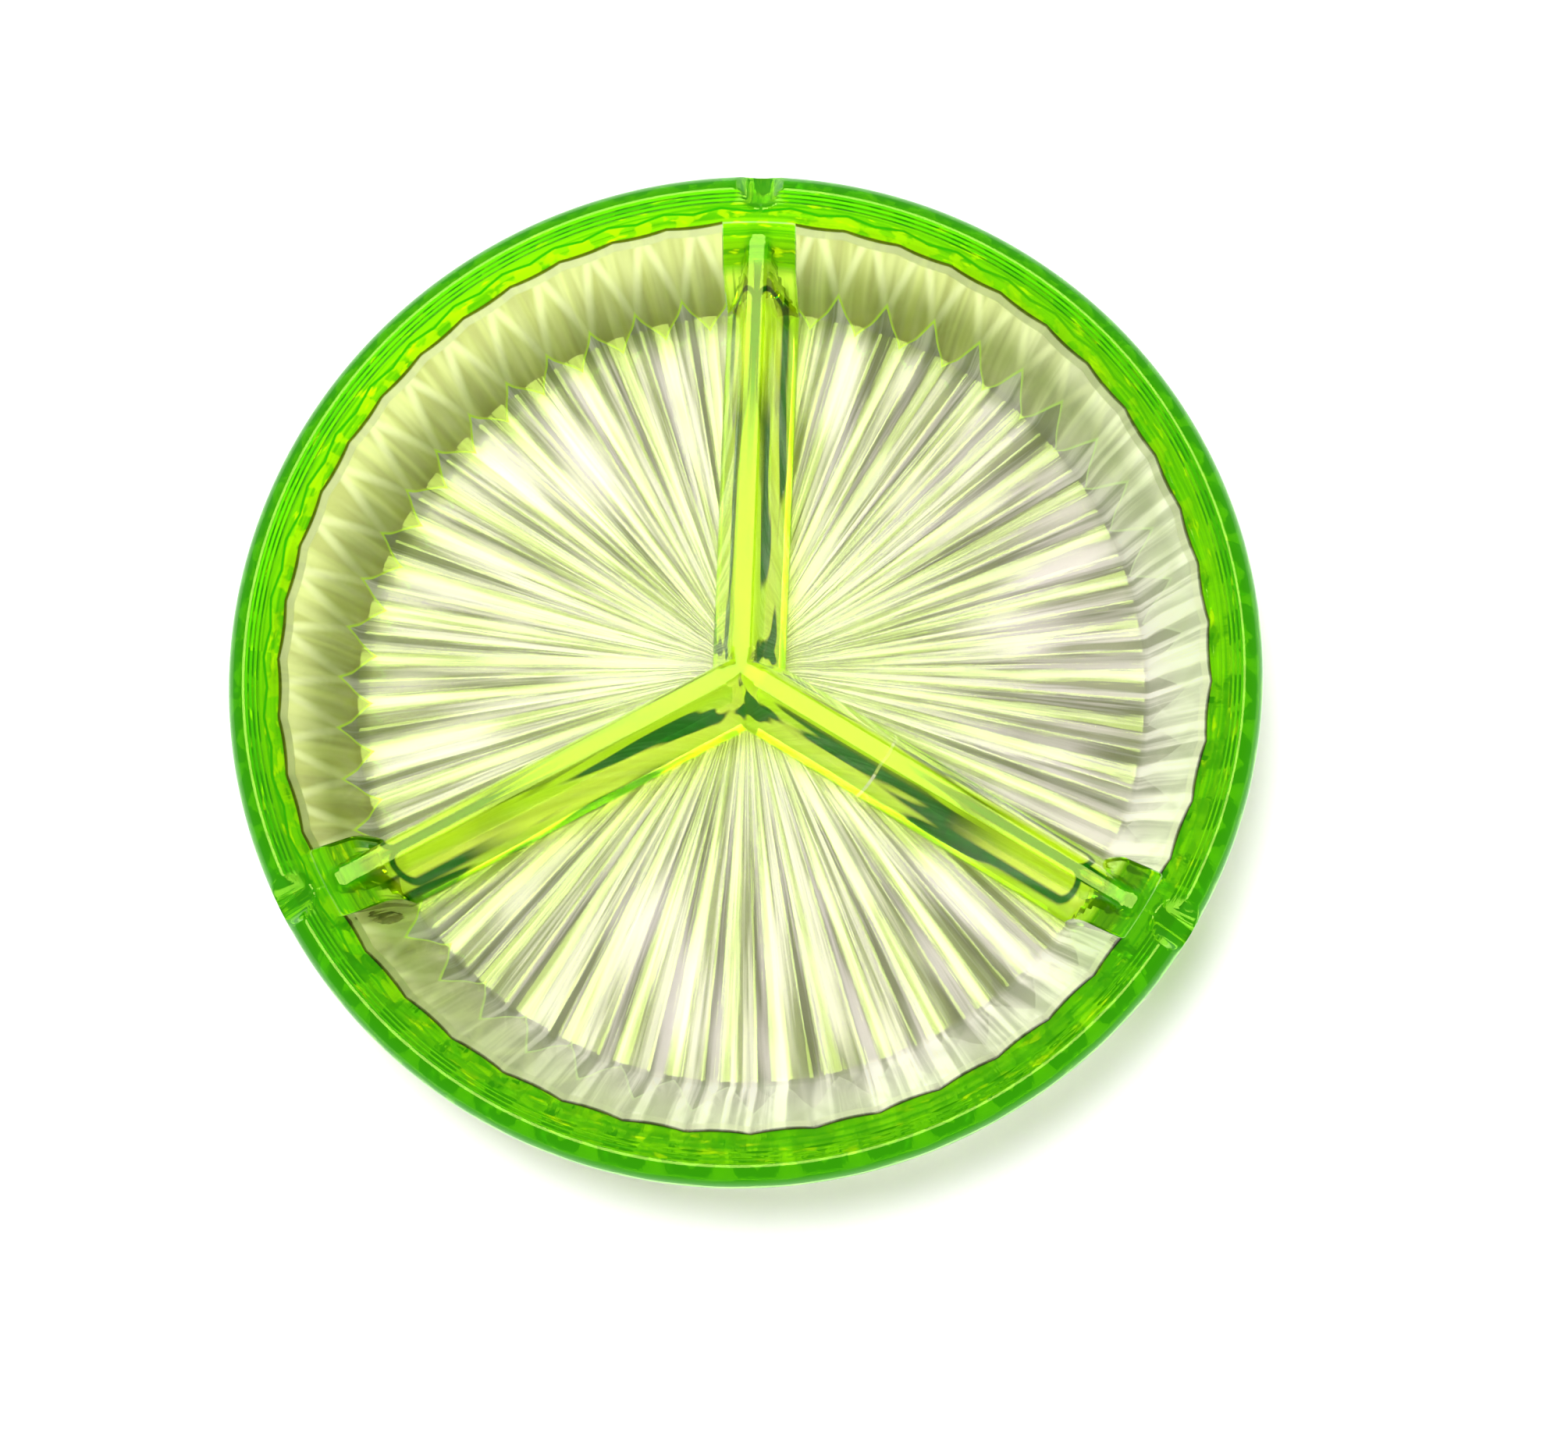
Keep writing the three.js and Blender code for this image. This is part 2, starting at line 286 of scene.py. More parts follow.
# %% [markdown]
# ## The divider
# The divider is a ridge with steep sides and a rounded crest, a little lower
# than the rim. At the wall it meets a corbel that climbs to the rim's edge. It
# starts as a flat grid: its long rows land on the same points as the spokes of
# the two pockets beside it, so that the seams close when doubles are merged.

# %% Larger and smaller of two heights, with a round change-over
def soft_max(a, b, blend):
    near = max(blend - abs(a - b), 0) / blend
    return max(a, b) + near * near * blend / 4


def soft_min(a, b, blend):
    return -soft_max(-a, -b, blend)


# %% Heights across and along the divider
crest_round = 2.4 * MM
corbel_run = 5.9 * MM
corbel_drop = 4.5 * MM
corbel_round = 3 * MM
corbel_front_slope = 4.2
touching = 1e-7

side_slope = (crest_z - floor_z) / (half_divider - crest_half)


def ridge_height(across):
    side = floor_z + side_slope * (half_divider - abs(across))
    on_ridge = abs(across) < half_divider - touching
    return soft_min(side, crest_z, crest_round) if on_ridge else floor_z


def corbel_height(along):
    ramp = edge_z - (edge_radius - along) * corbel_drop / corbel_run
    front = floor_z + (along - floor_end.x) * corbel_front_slope
    return max(soft_min(ramp, front, corbel_round), floor_z)


# %% Rows of the divider, from the wall to the middle
corner_rows = [(math.sqrt(p.x ** 2 - half_divider ** 2), p.y) for p in inside[floor_rows:]]
corner_turn = third / 2 - math.asin(half_divider / floor_end.x)
half_steps = pocket_steps // 2
foot_rows = []
for step in range(1, half_steps + 1):
    off_middle = corner_turn * (1 - step / half_steps)
    foot_rows.append(half_divider / math.tan(third / 2 - off_middle))
hub_steps = 6
hub_rows = [foot_rows[-1] * (1 - step / hub_steps) for step in range(1, hub_steps + 1)]
along_rows = [row[0] for row in reversed(corner_rows)] + foot_rows + hub_rows
print("divider rows:", len(along_rows))

# %% Grid of the divider, shaped
corbel_seam = 1.2 * MM
corbel_reach = 6 * MM
divider = bmesh.new()
bmesh.ops.create_grid(divider, x_segments=pier_steps, y_segments=len(along_rows) - 1, size=0.5)
for vert in divider.verts:
    across_share = 2 * vert.co.x
    row = round((0.5 - vert.co.y) * (len(along_rows) - 1))
    along = along_rows[row]
    width = min(half_divider, along * math.tan(third / 2))
    across = width * across_share
    if row == 0:
        turn = half_pier * across_share
        across, along = edge_radius * math.sin(turn), edge_radius * math.cos(turn)
        height = edge_z
    elif row < len(corner_rows) - 1:
        height = soft_max(ridge_height(across), corbel_height(along), corbel_seam)
    else:
        height = ridge_height(across)
        if along > floor_end.x - corbel_reach and abs(across_share) < 0.999:
            height = soft_max(height, corbel_height(along), corbel_seam)
    vert.co = Vector((across, along, height))

# %% [markdown]
# Above the floor the corbel stands clear of the wall's foot, so each side of it
# needs a small upright face between its top edge and the corner of the pocket.

# %% Sides of the corbel
def side_chain(bm, side):
    chain = [v for v in bm.verts if abs(v.co.x - side * half_divider) < touching and
             v.co.y > corner_rows[0][0] - 10 * touching]
    return sorted(chain, key=lambda v: v.co.y)


for side in (-1, 1):
    top = side_chain(divider, side)
    low = []
    for vert, (along, height) in zip(top, corner_rows):
        low.append(divider.verts.new((vert.co.x, vert.co.y, height)))
    for index in range(len(top) - 1):
        corners = [top[index], top[index + 1], low[index + 1], low[index]]
        divider.faces.new(corners)
bmesh.ops.remove_doubles(divider, verts=divider.verts, dist=weld)
print("divider:", len(divider.verts), "vertices")

# %% Add the divider to its third
divider_mesh = bpy.data.meshes.new("divider")
divider.to_mesh(divider_mesh)
divider.free()
part.from_mesh(divider_mesh)
bpy.data.meshes.remove(divider_mesh)

# %% [markdown]
# ## Three thirds make the dish
# The finished third is copied and turned twice. Merging doubles then closes
# every seam, and a count of open edges shows whether the glass is watertight.

# %% Turn and merge
seam_weld = 0.012 * MM
smallest_edge = 0.001 * MM
one_third = list(part.verts) + list(part.edges) + list(part.faces)
for turn in (1, 2):
    copy = bmesh.ops.duplicate(part, geom=one_third)["geom"]
    copied = [item for item in copy if isinstance(item, bmesh.types.BMVert)]
    bmesh.ops.rotate(part, verts=copied, cent=(0, 0, 0),
                     matrix=Matrix.Rotation(turn * third, 3, "Z"))
bmesh.ops.remove_doubles(part, verts=part.verts, dist=seam_weld)
bmesh.ops.dissolve_degenerate(part, edges=part.edges, dist=smallest_edge)
bmesh.ops.recalc_face_normals(part, faces=part.faces)
open_edges = [e for e in part.edges if len(e.link_faces) != 2]
print("dish:", len(part.verts), "vertices,", len(part.faces), "faces")
print("open edges:", len(open_edges))

# %% [markdown]
# ## Pressing the ribs and the notches
# The fans of ribs and the scooped notches are pressed into the closed skin, as
# the mould presses them into hot glass: every point moves along the surface by
# a height that a short formula gives. The ribs fan out from a point a little
# behind the middle, so they are wider in the front compartment.

# %% Place of a point among the ribs and the dividers
def rib_turn(x, y):
    sector = math.floor((math.atan2(y, x) - back) / third)
    middle = back + (sector + 0.5) * third
    turn = math.atan2(y - fan_centre.y, x - fan_centre.x)
    return ((turn - middle + math.pi) % math.tau - math.pi) / rib_pitch + 0.5


def rib_share(x, y):
    return 1 - (2 * (rib_turn(x, y) % 1) - 1) ** 2


def clear_of_dividers(x, y):
    turn = math.atan2(y, x) - back
    sector = round(turn / third)
    direction = back + sector * third
    return abs(math.cos(direction) * y - math.sin(direction) * x)


# %% Rib height at a point
wall_lean = math.atan2(wall_top_radius - wall_foot_radius, wall_top_z - floor_z)
petal_rise = 0.7 * MM
petal_taper = 0.8
petal_end = 0.92
rib_bend = 2 * MM
rib_fade = 1.5 * MM


def petal_share(place, up):
    width = 1 - petal_taper * up
    swell = math.sin(math.pi * min(up / petal_end, 1)) ** 2
    return max(1 - ((2 * place - 1) / width) ** 2, 0) * swell


def ribbed(point):
    radius = math.hypot(point.x, point.y)
    if point.z < floor_z - 10 * hair or radius > edge_radius + rib_bend:
        return point
    if clear_of_dividers(point.x, point.y) < half_divider - 2 * hair:
        return point
    outward = Vector((point.x, point.y, 0)) / radius
    up_share = min(max((point.z - floor_z) / rib_bend, 0), 1)
    tilt = up_share * (math.pi / 2 - wall_lean)
    normal = Vector((0, 0, math.cos(tilt))) - outward * math.sin(tilt)
    reach = (Vector((point.x, point.y)) - fan_centre).length / wall_foot_radius
    rise = floor_rib_rise * min(reach, 1) * (1 - up_share) + wall_rib_rise * up_share
    past_edge = min(max((radius - edge_radius) / rib_fade, 0), 1)
    rise *= (1 - past_edge) ** 2
    climb = min(max((point.z - floor_z) / (edge_z - floor_z), 0), 1)
    petal = petal_rise * up_share * petal_share(rib_turn(point.x, point.y) % 1, climb)
    return point + normal * (rise * rib_share(point.x, point.y) + petal)


# %% Notch depth at a point
notch_radius = 4.2 * MM
notch_depth = 2.1 * MM
notch_tilt = math.radians(24)
notch_round = 0.6 * MM
notch_reach = 5 * MM


def notched(point):
    radius = math.hypot(point.x, point.y)
    if radius < crest_radius - notch_reach or point.z < shoulder_z:
        return point
    across = clear_of_dividers(point.x, point.y)
    if across > notch_radius - 5 * hair:
        return point
    axis = dish_height + notch_radius / math.cos(notch_tilt) - notch_depth
    axis -= (radius - crest_radius) * math.tan(notch_tilt)
    cut = axis - math.sqrt(notch_radius ** 2 - across ** 2) / math.cos(notch_tilt)
    lowered = soft_min(point.z, cut, notch_round)
    return Vector((point.x, point.y, max(lowered, shoulder_z)))


# %% [markdown]
# ## Coordinates that follow the pressing
# The glass is streaked along the ribs, along the dividers and round the rim,
# so a pattern needs coordinates that bend the same way. Two vectors are stored
# on every point: one counts ribs and measures up the pocket from its corner,
# the other measures across and along the nearest divider and out from the
# middle. They are in millimetres, which keeps the shader's numbers readable.

# %% Store the coordinates
far_from_wall = 20
rib_map = part.verts.layers.float_vector.new("rib_map")
place_map = part.verts.layers.float_vector.new("place_map")
for vert in part.verts:
    x, y, z = vert.co
    radius = math.hypot(x, y)
    lift = max(z - floor_z, 0)
    reach = math.hypot(x - fan_centre.x, y - fan_centre.y)
    vert[rib_map] = (rib_turn(x, y), reach / MM, (radius - wall_foot_radius) / MM)
    across = clear_of_dividers(x, y)
    skin = radius - (wall_foot_radius + lift / 2)
    skin_mm = skin / MM if z > floor_z / 2 else far_from_wall
    vert[place_map] = (across / MM, radius / MM, skin_mm)

# %% Press the ribs and the notches
for vert in part.verts:
    vert.co = notched(ribbed(vert.co))
print("highest point:", round(max(vert.co.z for vert in part.verts) / MM, 3), "mm")

# %% [markdown]
# ## One object for the whole dish
# A single mesh with one material keeps the glass solid: light enters once and
# leaves once, with no inner faces where regions meet. Faces are smooth, and
# only edges sharper than a set angle stay crisp.

# %% The finished glass
dish_mesh = bpy.data.meshes.new("glass_dish")
part.to_mesh(dish_mesh)
part.free()
dish = bpy.data.objects.new("glass_dish", dish_mesh)
bpy.context.scene.collection.objects.link(dish)
for face in dish_mesh.polygons:
    face.use_smooth = True
sharp_angle = math.radians(38)
dish_mesh.set_sharp_from_angle(angle=sharp_angle)
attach(dish, "root")
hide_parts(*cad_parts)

# %% [markdown]
# ## Building a material from small steps
# Uranium glass is yellow-green all through. Where a look goes through much of
# it the green is deep, and where it is thin it is almost clear. Real glass gets
# all its patterns from bending light. Bending does much of the work here too,
# but a render of solid glass loses fine streaks, so much of that light and shade
# is also painted into the skin's colour, and some painted glow is added. A few
# short helpers keep the node tree readable: each adds one node and returns its
# output.

# %% Shader helpers for numbers
glass = bpy.data.materials.new("uranium_glass")
glass.use_nodes = True
tree = glass.node_tree
shader = tree.nodes["Principled BSDF"]


def feed(socket, value):
    if isinstance(value, bpy.types.NodeSocket):
        tree.links.new(value, socket)
    else:
        socket.default_value = value


def calc(operation, *values):
    node = tree.nodes.new("ShaderNodeMath")
    node.operation = operation
    for socket, value in zip(node.inputs, values):
        feed(socket, value)
    return node.outputs[0]


def plus(first, second):
    return calc("ADD", first, second)


def minus(first, second):
    return calc("SUBTRACT", first, second)


def times(first, second):
    return calc("MULTIPLY", first, second)


def opposite(share):
    return calc("SUBTRACT", 1, share)


# %% Shader helpers for soft steps and narrow bands
def ease(value, low, high):
    node = tree.nodes.new("ShaderNodeMapRange")
    node.interpolation_type = "SMOOTHSTEP"
    feed(node.inputs["Value"], value)
    feed(node.inputs["From Min"], low)
    feed(node.inputs["From Max"], high)
    return node.outputs[0]


def below(value, low, high):
    return opposite(ease(value, low, high))


def band(value, low, high):
    return below(calc("ABSOLUTE", value), low, high)


# %% Shader helpers for colours, vectors and noise
def hue(red, green, blue):
    return (red, green, blue, 1)


def blend(share, first, second):
    node = tree.nodes.new("ShaderNodeMix")
    node.data_type = "RGBA"
    feed(node.inputs["Factor"], share)
    feed(node.inputs["A"], first)
    feed(node.inputs["B"], second)
    return node.outputs["Result"]


def join(x, y, z):
    node = tree.nodes.new("ShaderNodeCombineXYZ")
    for socket, value in zip(node.inputs, (x, y, z)):
        feed(socket, value)
    return node.outputs[0]


def parts_of(vector):
    node = tree.nodes.new("ShaderNodeSeparateXYZ")
    tree.links.new(vector, node.inputs[0])
    return node.outputs


def grain(x, y, z, detail):
    node = tree.nodes.new("ShaderNodeTexNoise")
    feed(node.inputs["Vector"], join(x, y, z))
    feed(node.inputs["Scale"], 1.0)
    feed(node.inputs["Detail"], detail)
    feed(node.inputs["Roughness"], 0.5)
    return node.outputs["Fac"]


# %% [markdown]
# ## Where a point lies
# The stored coordinates come back here, in millimetres. From them the shader
# makes masks: numbers from 0 to 1 that say whether a point is on the inner
# skin, inside the rim's edge, on a divider or on the wall. Masks built from
# distances stay sharp at any size, and painting by hand would not.

# %% Coordinates
def stored(name):
    source = tree.nodes.new("ShaderNodeAttribute")
    source.attribute_name = name
    return parts_of(source.outputs["Vector"])


rib_place, rib_reach, past_corner = stored("rib_map")
across, radius_mm, skin = stored("place_map")
spot = parts_of(tree.nodes.new("ShaderNodeTexCoord").outputs["Object"])
height = spot["Z"]
turn_round = calc("ARCTAN2", spot["Y"], spot["X"])

half_mm = half_divider / MM
edge_mm = edge_radius / MM
outer_mm = dish_radius / MM
print("divider half width", round(half_mm, 1), "edge radius", round(edge_mm, 1), "mm")

# %% Masks of the regions
inner = below(skin, 1.2, 2.2)
in_edge = below(radius_mm, edge_mm - 0.15, edge_mm + 0.15)
in_divider = times(below(across, half_mm - 0.25, half_mm + 0.05), in_edge)
on_top = ease(height, dish_height - 4.5 * MM, dish_height - 3 * MM)
corbel_share = ease(radius_mm, 67.0, 68.6)

# %% [markdown]
# ## The zig-zag where the floor meets the wall
# Each rib ends in a bright tooth, and the teeth together make a zig-zag round
# the floor. The band past the teeth is painted shade: the shadow that the wall
# casts on the table under the glass, seen through the floor, with the ribs
# bending its edge into teeth. Its reach is a power of the distance from a rib's
# middle, which gives blunt teeth with narrow gaps. The wall on the lamp's side
# is painted olive with that shade and the far side almost clear, so one mask
# grows round the dish with the cosine of the turn. It is tied to the glass, so it
# keeps its place as the dish turns.

# %% Teeth, and the share of wall without painted shade
lamp_turn = math.radians(42)
tooth_bluntness = 0.85
tooth_length = 5.0
tooth_start = 3.3

from_rib = calc("ABSOLUTE", minus(times(calc("FRACT", rib_place), 2), 1))
tip_reach = minus(times(calc("POWER", from_rib, tooth_bluntness), tooth_length), tooth_start)
# The painted shade lies on the lamp's side of the dish, and there it reaches further in.
away_from_light = calc("COSINE", plus(turn_round, lamp_turn))
floor_reach = plus(1.7, times(away_from_light, 2.6))
up_wall = minus(minus(past_corner, tip_reach), floor_reach)
on_wall = ease(up_wall, -0.12, 0.12)
wall_line = band(up_wall, 0.25, 0.75)
unshaded_wall = ease(away_from_light, -0.3, 0.9)
print("teeth:", tooth_length, "mm long")

# %% [markdown]
# ## Streaks along the ribs
# Pressed glass flows along the mould's ribs and keeps faint lines. A noise
# texture that is stretched along a rib looks just like that. It reads the rib
# count across, where it changes fast, and the reach along, where it barely does.
# The grey streaks are partly those lines and partly painted shade, where the
# ribs bend the view towards dark, with near white between them.

# %% Floor colour
streak_light = hue(0.98, 0.92, 1.0)
flow_and_shade_grey = hue(0.19, 0.21, 0.12)

fine_streaks = grain(times(rib_place, 5.0), times(rib_reach, 0.02), 0.0, 3)
broad_streaks = grain(times(rib_place, 1.9), times(rib_reach, 0.03), 7.0, 2)
flow_and_shade_share = times(ease(fine_streaks, 0.36, 0.57), ease(broad_streaks, 0.25, 0.55))
floor_colour = blend(flow_and_shade_share, streak_light, flow_and_shade_grey)

# %% [markdown]
# ## The wall
# Every rib ends on the wall in a pointed petal with an outline. The outline is
# painted light and shade: pale on the olive wall and grey on the clear one. It
# is a narrow band where the distance from the rib's middle equals a width that
# shrinks going up. Two wall colours are made, olive and clear, and mixed by the
# mask above: the olive is painted shade, the clear is the glass without it.

# %% Petal outline
petal_rate = plus(0.075, times(unshaded_wall, 0.04))
petal_width = minus(0.95, times(up_wall, petal_rate))
petal_line = band(minus(from_rib, petal_width), 0.02, 0.16)

# %% Olive wall of painted shade, and clear wall
olive_dark = hue(0.20, 0.22, 0.04)
olive_light = hue(0.36, 0.40, 0.10)
petal_pale = hue(0.46, 0.50, 0.18)
clear_white = hue(1.0, 1.0, 1.0)
clear_grey = hue(0.30, 0.33, 0.20)
petal_grey = hue(0.42, 0.45, 0.30)

wall_streaks = ease(grain(times(rib_place, 4.0), times(rib_reach, 0.06), 3.0, 1), 0.4, 0.65)
shaded_wall_colour = blend(wall_streaks, olive_dark, olive_light)
shaded_wall_colour = blend(petal_line, shaded_wall_colour, petal_pale)
clear_colour = blend(times(flow_and_shade_share, 0.7), clear_white, clear_grey)
clear_colour = blend(times(petal_line, 0.4), clear_colour, petal_grey)

# %% Outline of the teeth, and the bevel under the rim
# The bright green outline of the teeth is painted light. The bevel under the rim carries the
# painted shade on the lamp's side and a pale tint on the far side.
tooth_green = hue(0.50, 1.0, 0.02)
bevel_olive = hue(0.34, 0.38, 0.15)
bevel_clear = hue(0.80, 0.82, 0.66)

wall_colour = blend(unshaded_wall, shaded_wall_colour, clear_colour)
wall_colour = blend(wall_line, wall_colour, blend(unshaded_wall, tooth_green, clear_colour))
pocket_colour = blend(on_wall, floor_colour, wall_colour)
on_bevel = ease(radius_mm, edge_mm - 1.25, edge_mm - 1.05)
bevel_colour = blend(unshaded_wall, bevel_olive, bevel_clear)
pocket_colour = blend(on_bevel, pocket_colour, bevel_colour)
print("floor and wall:", len(tree.nodes), "nodes")

# %% [markdown]
# ## The dividers
# A divider is the thickest glass in the dish and works like a prism: it shows
# long bands, some bright yellow-green and some nearly black-green. Those bands
# of light and shade are painted into the colour here; bands from one stretched
# noise give the contrast. Uranium glass also glows a little by day, so the bright
# bands get a faint glow of their own colour, which is painted light as well.

# %% Bright and dark bands
painted_shade_band = hue(0.0, 0.04, 0.0)
painted_light_band = hue(0.60, 1.0, 0.01)
glow_dark = hue(0.0, 0.01, 0.0)
glow_bright = hue(0.11, 0.19, 0.0)
crest_green = hue(0.60, 0.85, 0.04)
line_green = hue(0.0, 0.08, 0.0)

divider_bands = grain(times(across, 0.62), times(radius_mm, 0.035), times(turn_round, 2.0), 1)
bright_band = ease(divider_bands, 0.42, 0.48)
divider_colour = blend(bright_band, painted_shade_band, painted_light_band)
divider_glow = blend(bright_band, glow_dark, glow_bright)

# %% Crest, painted bright at the middle of the dish and with a painted dark line further out
near_hub = below(radius_mm, 28, 46)
on_crest = below(across, 1.2, 2.4)
crest_line = times(below(across, 0.25, 0.7), opposite(near_hub))
crest_line = times(crest_line, below(radius_mm, 64, 67))
divider_colour = blend(times(on_crest, near_hub), divider_colour, crest_green)
divider_colour = blend(crest_line, divider_colour, line_green)

# %% [markdown]
# Near the wall each divider ends in two rounded lobes of painted light with a
# painted dark outline. A lobe is every point within a set distance of a line
# along the divider: past the line's end the distance is measured round it, which
# rounds the tip.

# %% Lobes, and a line of painted shade along the foot
lobe_across = 2.3
lobe_end = 61.5
lobe_dark = hue(0.0, 0.05, 0.0)
lobe_bright = hue(0.70, 1.0, 0.02)
lobe_glow = hue(0.14, 0.22, 0.0)
foot_green = hue(0.05, 0.22, 0.0)

lobe_side = calc("ABSOLUTE", minus(across, lobe_across))
lobe_past = calc("MAXIMUM", minus(radius_mm, lobe_end), 0.0)
lobe_far = calc("SQRT", plus(calc("POWER", lobe_side, 2.0), calc("POWER", lobe_past, 2.0)))
lobe_zone = ease(radius_mm, 40, 54)
lobe_ring = times(lobe_zone, below(lobe_far, 2.3, 2.7))
lobe_core = times(lobe_zone, below(lobe_far, 1.3, 1.7))
divider_colour = blend(lobe_ring, divider_colour, lobe_dark)
divider_colour = blend(lobe_core, divider_colour, lobe_bright)
divider_glow = blend(lobe_ring, divider_glow, glow_dark)
divider_glow = blend(lobe_core, divider_glow, lobe_glow)
foot_line = ease(across, half_mm - 0.9, half_mm - 0.4)
divider_colour = blend(times(foot_line, 0.6), divider_colour, foot_green)

# %% [markdown]
# The glass has one old flaw, a fine pale crease across the right divider. It is
# too shallow to matter to the shape, so it is a narrow band in the colour,
# bowed a little and limited to one divider by the turn round the dish.

# %% Crease
crease_radius = 27.5
crease_pale = hue(1.0, 1.0, 0.85)

crease_bow = times(calc("POWER", across, 2.0), 0.06)
crease_place = minus(radius_mm, minus(crease_radius, crease_bow))
on_right = band(plus(turn_round, third / 4), 0.3, 0.4)
crease = times(band(crease_place, 0.12, 0.32), on_right)
divider_colour = blend(crease, divider_colour, crease_pale)
print("with the dividers:", len(tree.nodes), "nodes")

# %% [markdown]
# ## The rim
# The rim is seen through its own thickness, so it is the greenest part. Rings of
# painted light and shade run round it where the ridges bend the light, with
# yellow flecks of painted light. At the back a wavy dark line follows the ends of
# the ribs, because they are seen through the glass: it is a painted image of
# them, with painted yellow patches beside it.

# %% Rings and flecks
ring_dark = hue(0.01, 0.16, 0.0)
ring_light = hue(0.09, 0.50, 0.0)
fleck_yellow = hue(0.60, 1.0, 0.0)

rim_rings = grain(times(radius_mm, 1.6), times(turn_round, 1.6), 0.0, 2)
rim_flecks = ease(grain(times(radius_mm, 0.9), times(turn_round, 14.0), 5.0, 2), 0.60, 0.70)
rim_colour = blend(ease(rim_rings, 0.36, 0.62), ring_dark, ring_light)
rim_colour = blend(rim_flecks, rim_colour, fleck_yellow)

# %% Wavy line over the rib ends
# The wavy line and the yellow patches beside it are a painted image of the rib ends.
wave_offset = 1.5
wave_height = 0.6
patch_yellow = hue(0.45, 0.95, 0.0)

wave_gap = minus(radius_mm, plus(edge_mm + wave_offset, times(from_rib, wave_height)))
at_back = opposite(unshaded_wall)
wave_inside = times(below(wave_gap, -0.3, 0.0), ease(radius_mm, edge_mm - 0.3, edge_mm))
wave_patches = ease(grain(times(radius_mm, 0.5), times(turn_round, 22.0), 9.0, 2), 0.46, 0.56)
wave_inside = times(wave_inside, times(times(at_back, 0.5), wave_patches))
rim_colour = blend(wave_inside, rim_colour, patch_yellow)
rim_colour = blend(times(band(wave_gap, 0.1, 0.3), at_back), rim_colour, line_green)

# %% Round shoulder, outermost lip and notches
# The round shoulder is painted in deep shade, the outermost lip gets a pale painted highlight,
# and the notches are painted lighter, painted light in their hollows.
shoulder_shade_green = hue(0.01, 0.10, 0.0)
lip_highlight = hue(0.35, 0.75, 0.12)
notch_light_green = hue(0.34, 0.85, 0.03)

on_shoulder = ease(radius_mm, outer_mm - 3.4, outer_mm - 2.8)
rim_colour = blend(on_shoulder, rim_colour, shoulder_shade_green)
rim_colour = blend(ease(radius_mm, outer_mm - 0.6, outer_mm - 0.2), rim_colour, lip_highlight)
in_notch = times(below(across, 3.4, 4.2), ease(radius_mm, edge_mm + 2.5, edge_mm + 3.5))
rim_colour = blend(in_notch, rim_colour, notch_light_green)
print("with the rim:", len(tree.nodes), "nodes")

# %% [markdown]
# ## Putting the regions together
# The masks lay the colours over each other: pocket, divider, corbel and rim on
# the inner skin, and a plainer tint outside, clear low down and green just
# under the rim. The rim's sharp inner edge ends in a thin dark line of painted
# shade.

# %% Inner skin, outer skin and edge line
outside_pale = hue(0.90, 0.95, 0.72)
outside_clear = hue(0.99, 0.99, 0.98)
outside_green = hue(0.12, 0.60, 0.0)
painted_edge_shade = hue(0.01, 0.02, 0.0)

divider_colour = blend(corbel_share, divider_colour, rim_colour)
inside_colour = blend(in_divider, pocket_colour, divider_colour)
skin_colour = blend(opposite(in_edge), inside_colour, rim_colour)
outer_colour = blend(below(height, 1.5 * MM, 14 * MM), outside_pale, outside_clear)
outer_colour = blend(ease(height, 17 * MM, 20 * MM), outer_colour, outside_green)
full_colour = blend(times(opposite(inner), opposite(on_top)), skin_colour, outer_colour)
edge_line = band(minus(radius_mm, edge_mm), 0.12, 0.28)
edge_line = times(edge_line, times(on_top, ease(across, half_mm - 0.3, half_mm)))
full_colour = blend(edge_line, full_colour, painted_edge_shade)

# %% [markdown]
# ## Glow
# Uranium glass turns some of the daylight into green light of its own. Here the
# glow is partly that and partly painted light that makes the glass brighter and
# greener. The glow is strongest in the rim, and it also lights the bright bands
# and lobes of the dividers and their ends at the rim. The olive wall gets a faint
# glow, and the clear wall a pale one, which stands in for light that real glass
# passes on from the table. It counts only where a surface is seen from outside,
# or the glass would be lit from within.

# %% Glow of wall, dividers and rim
no_glow = hue(0, 0, 0)
olive_glow = hue(0.08, 0.10, 0.01)
clear_glow = hue(0.42, 0.41, 0.34)
corbel_glow = hue(0.03, 0.14, 0.0)
rim_glow_inner = hue(0.025, 0.28, 0.0)
rim_glow_outer = hue(0.03, 0.34, 0.0)

facing_out = opposite(tree.nodes.new("ShaderNodeNewGeometry").outputs["Backfacing"])
clear_foot = times(unshaded_wall, ease(past_corner, -1.6, 0.4))
wall_share = times(calc("MAXIMUM", on_wall, clear_foot), times(inner, in_edge))
wall_share = times(wall_share, times(facing_out, opposite(in_divider)))
wall_glow = blend(unshaded_wall, olive_glow, clear_glow)
wall_glow = blend(times(flow_and_shade_share, 0.65), wall_glow, no_glow)
divider_share = times(in_divider, facing_out)
corbel_end = times(times(in_divider, ease(radius_mm, 64.5, 67.5)), facing_out)
rim_share = calc("MAXIMUM", opposite(in_edge), times(in_divider, corbel_share))
rim_share = times(times(rim_share, on_top), facing_out)
rim_share = times(rim_share, opposite(edge_line))

glow = blend(wall_share, no_glow, wall_glow)
glow = blend(divider_share, glow, divider_glow)
glow = blend(corbel_end, glow, corbel_glow)
glow = blend(rim_share, glow, blend(on_shoulder, rim_glow_inner, rim_glow_outer))

# %% [markdown]
# ## The tint of the shadow, and the ripple of the skin
# Light that reaches the table through the dish would be dyed twice by painted
# colours, so rays that started on a matt surface meet a pale tint instead. The
# fine streaks also raise the skin a little, so that they catch the light.

# %% Shadow tint and ripple
shadow_tint = hue(0.95, 0.86, 0.85)

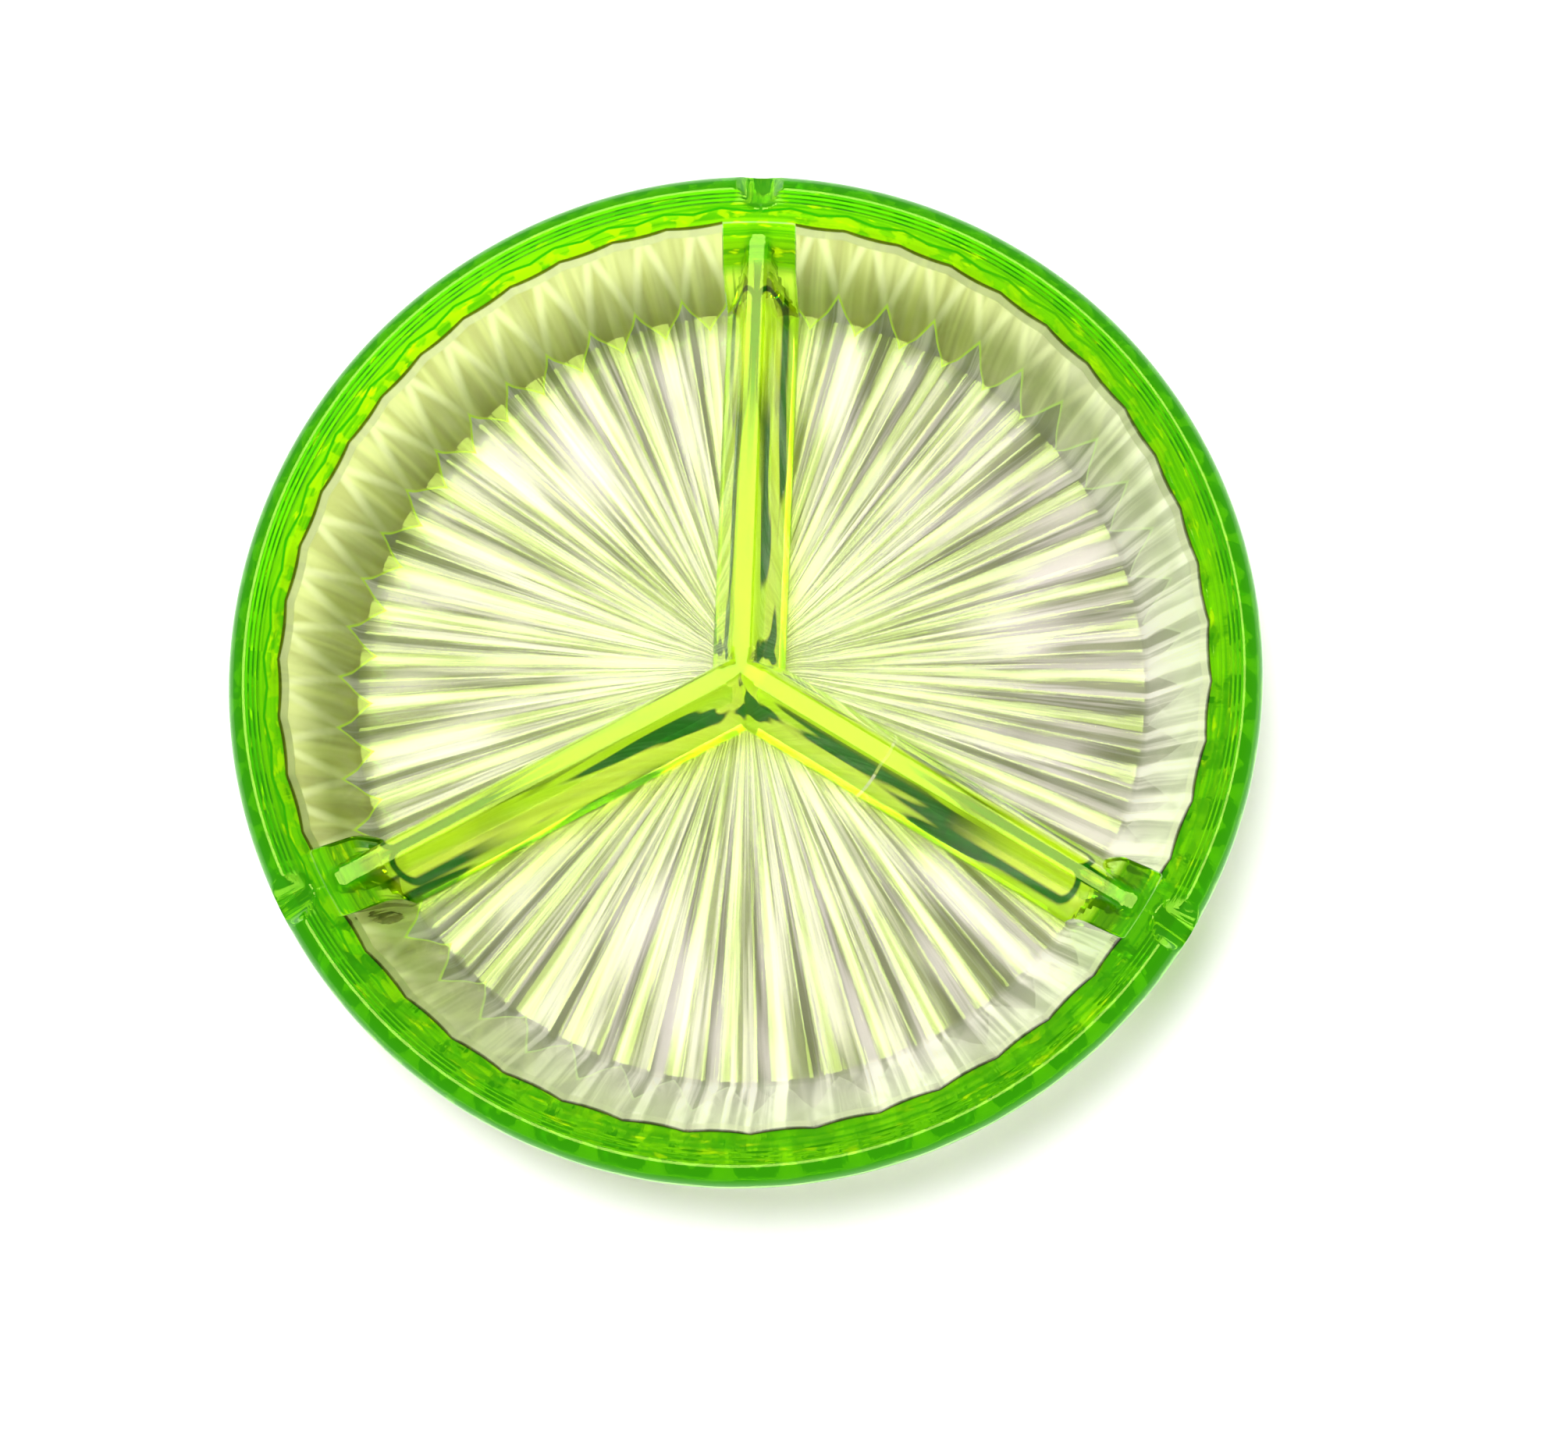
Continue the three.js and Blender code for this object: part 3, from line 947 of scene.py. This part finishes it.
matt_ray = tree.nodes.new("ShaderNodeLightPath").outputs["Is Diffuse Ray"]
full_colour = blend(matt_ray, full_colour, shadow_tint)
ripple = tree.nodes.new("ShaderNodeBump")
ripple.inputs["Strength"].default_value = 0.4
ripple.inputs["Distance"].default_value = 0.4 * MM
feed(ripple.inputs["Height"], times(fine_streaks, times(inner, opposite(in_divider))))
feed(shader.inputs["Normal"], ripple.outputs["Normal"])

# %% [markdown]
# ## The glass itself
# The surface is smooth, with the bending power of common glass. Its reflections
# are tinted, because a white sheen would hide the colour. The body soaks up
# light the further it travels, which is what makes thick parts deep green.

# %% Surface and body of the glass
shader.inputs["Roughness"].default_value = 0.03
shader.inputs["Specular Tint"].default_value = hue(0.45, 0.6, 0.12)
shader.inputs["IOR"].default_value = 1.5
shader.inputs["Transmission Weight"].default_value = 1
shader.inputs["Emission Strength"].default_value = 1
feed(shader.inputs["Base Color"], full_colour)
feed(shader.inputs["Emission Color"], glow)
absorb = tree.nodes.new("ShaderNodeVolumeAbsorption")
absorb.inputs["Color"].default_value = hue(0.72, 0.82, 0.15)
absorb.inputs["Density"].default_value = 22
feed(tree.nodes["Material Output"].inputs["Volume"], absorb.outputs["Volume"])
dish_mesh.materials.append(glass)
print("glass:", len(tree.nodes), "nodes")

# %% [markdown]
# ## Table
# The dish stands on a plain pale table, a hair below its foot ring. If the two
# faces touched, the renderer could not tell glass from air there.

# %% Table
table_half = 3
table_gap = 0.05 * MM

table = bmesh.new()
bmesh.ops.create_grid(table, x_segments=1, y_segments=1, size=table_half)
table_mesh = bpy.data.meshes.new("table")
table.to_mesh(table_mesh)
table.free()
floor = bpy.data.objects.new("table", table_mesh)
bpy.context.scene.collection.objects.link(floor)
floor.location.z = -table_gap
paper = bpy.data.materials.new("white_paper")
paper.use_nodes = True
paper_shader = paper.node_tree.nodes["Principled BSDF"]
paper_shader.inputs["Base Color"].default_value = hue(0.9, 0.9, 0.9)
paper_shader.inputs["Roughness"].default_value = 0.9
table_mesh.materials.append(paper)
print("table:", 2 * table_half, "m wide")

# %% [markdown]
# ## Light
# A large soft lamp behind and above the dish sends light down through the
# glass, and a bright surround fills the shadows, as a white room would.

# %% Surround and window
window_place = Vector((-0.22, 0.28, 1.35))
window_size = 0.8
window_watts = 28

scene = bpy.context.scene
world = bpy.data.worlds.new("studio")
world.use_nodes = True
world.node_tree.nodes["Background"].inputs["Color"].default_value = hue(1, 1, 1)
world.node_tree.nodes["Background"].inputs["Strength"].default_value = 0.6
scene.world = world

lamp = bpy.data.lights.new("window", "AREA")
lamp.shape = "DISK"
lamp.size = window_size
lamp.energy = window_watts
window = bpy.data.objects.new("window", lamp)
window.location = window_place
window.rotation_mode = "QUATERNION"
window.rotation_quaternion = (-window_place).to_track_quat("-Z", "Y")
scene.collection.objects.link(window)
print("window:", window_watts, "W")

# %% [markdown]
# ## Camera
# The camera looks down steeply from the front and a little from the right, and
# leans to one side as a hand-held one does. Turn and height give the direction,
# so that one number changes one thing.

# %% Camera
view_azimuth = math.radians(17.1)
view_elevation = math.radians(77.5)
view_roll = math.radians(-15.3)
view_distance = 0.532
view_target = Vector((7.1 * MM, -8.6 * MM, dish_height - 3.6 * MM))

away = Vector((math.sin(view_azimuth) * math.cos(view_elevation),
               -math.cos(view_azimuth) * math.cos(view_elevation),
               math.sin(view_elevation)))
lean = Quaternion((0, 0, 1), view_roll)
camera = bpy.data.objects.new("camera", bpy.data.cameras.new("camera"))
scene.collection.objects.link(camera)
camera.location = view_target + away * view_distance
camera.rotation_mode = "QUATERNION"
camera.rotation_quaternion = (-away).to_track_quat("-Z", "Y") @ lean
camera.data.sensor_width = 36
camera.data.lens = 77
scene.camera = camera
scene.view_settings.view_transform = "Standard"
print("camera:", view_distance, "m from the dish")
